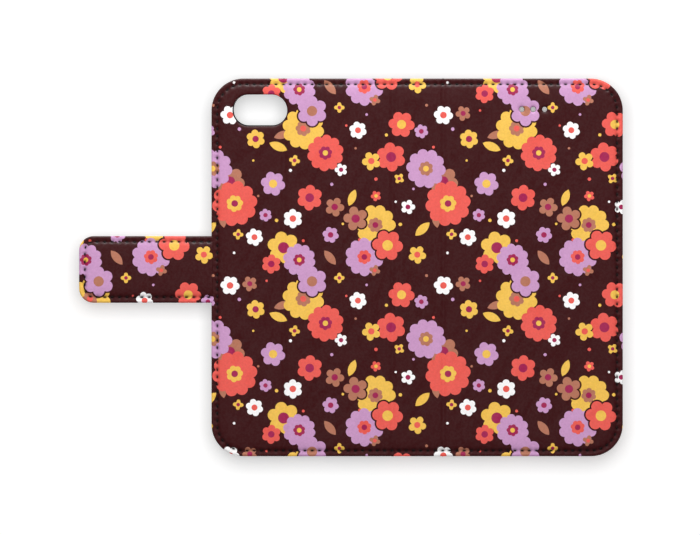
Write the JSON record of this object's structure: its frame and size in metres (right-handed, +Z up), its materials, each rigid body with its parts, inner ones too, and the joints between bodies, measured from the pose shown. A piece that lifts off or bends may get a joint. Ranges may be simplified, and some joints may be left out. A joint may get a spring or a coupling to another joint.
{
  "type": "folio phone case",
  "caption": "Folding folio phone case with printed leather cover, stand leg, spine, front flap with card pockets, phone tray and magnetic closing strap.",
  "frame": {"origin": "middle of the footprint, on the plane that the tray's rim stands on", "axes": "+X from the closing strap to the free edge of the front cover, +Y to the top of the phone, +Z up through the printed outer face"},
  "size_m": [0.187, 0.13, 0.0117],
  "materials": {
    "printed_leather": "printed floral pattern on dark brown, fine grain, satin",
    "foam": "fine foam",
    "board": "pressed card",
    "lining": "dark brown, fine grain, satin",
    "pocket_leather": "dark brown, fine grain, satin",
    "thread": "twisted dark thread",
    "tray_plastic": "moulded, fine matte texture",
    "adhesive": "matte",
    "magnet": "plated",
    "steel": "bare sheet"
  },
  "bodies": {
    "rear_holder": {"camera_strip_skin": "printed_leather", "camera_strip_foam": "foam", "camera_strip_board": "board", "camera_strip_lining": "lining", "camera_strip_stitching": "thread", "strap_tongue": "lining", "phone_tray": "tray_plastic", "tray_adhesive_pad": "adhesive"},
    "stand_leg": {"stand_leg_skin": "printed_leather", "stand_leg_foam": "foam", "stand_leg_board": "board", "stand_leg_lining": "lining", "stand_leg_stitching": "thread"},
    "spine": {"spine_skin": "printed_leather", "spine_foam": "foam", "spine_board": "board", "spine_lining": "lining", "spine_stitching": "thread"},
    "front_cover": {"front_cover_skin": "printed_leather", "front_cover_foam": "foam", "front_cover_board": "board", "front_cover_lining": "lining", "front_cover_stitching": "thread", "catch_plate": "steel", "cash_pocket": "pocket_leather", "card_pocket_back": "pocket_leather", "card_pocket_middle": "pocket_leather", "card_pocket_front": "pocket_leather", "pocket_stitching": "thread"},
    "strap_side": {"strap_side_skin": "printed_leather", "strap_side_core": "foam", "strap_side_lining": "lining", "strap_side_stitching": "thread"},
    "strap_tip": {"strap_tip_skin": "printed_leather", "strap_tip_stiffener": "board", "strap_tip_lining": "lining", "strap_tip_stitching": "thread", "strap_magnet": "magnet"}
  },
  "joints": [
    {"name": "stand_fold", "type": "hinge", "parent": "rear_holder", "child": "stand_leg", "pos_m": [-0.023, 0, 0.0106], "axis": [0, 1, 0], "range_deg": [-50, 0]},
    {"name": "rear_fold", "type": "hinge", "parent": "stand_leg", "child": "spine", "pos_m": [0.0143, 0, 0.0106], "axis": [0, 1, 0], "range_deg": [-90, 90]},
    {"name": "front_fold", "type": "hinge", "parent": "spine", "child": "front_cover", "pos_m": [0.0318, 0, 0.0106], "axis": [0, 1, 0], "range_deg": [-70, 90]},
    {"name": "strap_fold", "type": "hinge", "parent": "rear_holder", "child": "strap_side", "pos_m": [-0.0494, -0.0007, 0.0106], "axis": [0, -1, 0], "range_deg": [-10, 90]},
    {"name": "strap_tip_fold", "type": "hinge", "parent": "strap_side", "child": "strap_tip", "pos_m": [-0.0695, -0.0007, 0.0106], "axis": [0, -1, 0], "range_deg": [0, 90]}
  ]
}
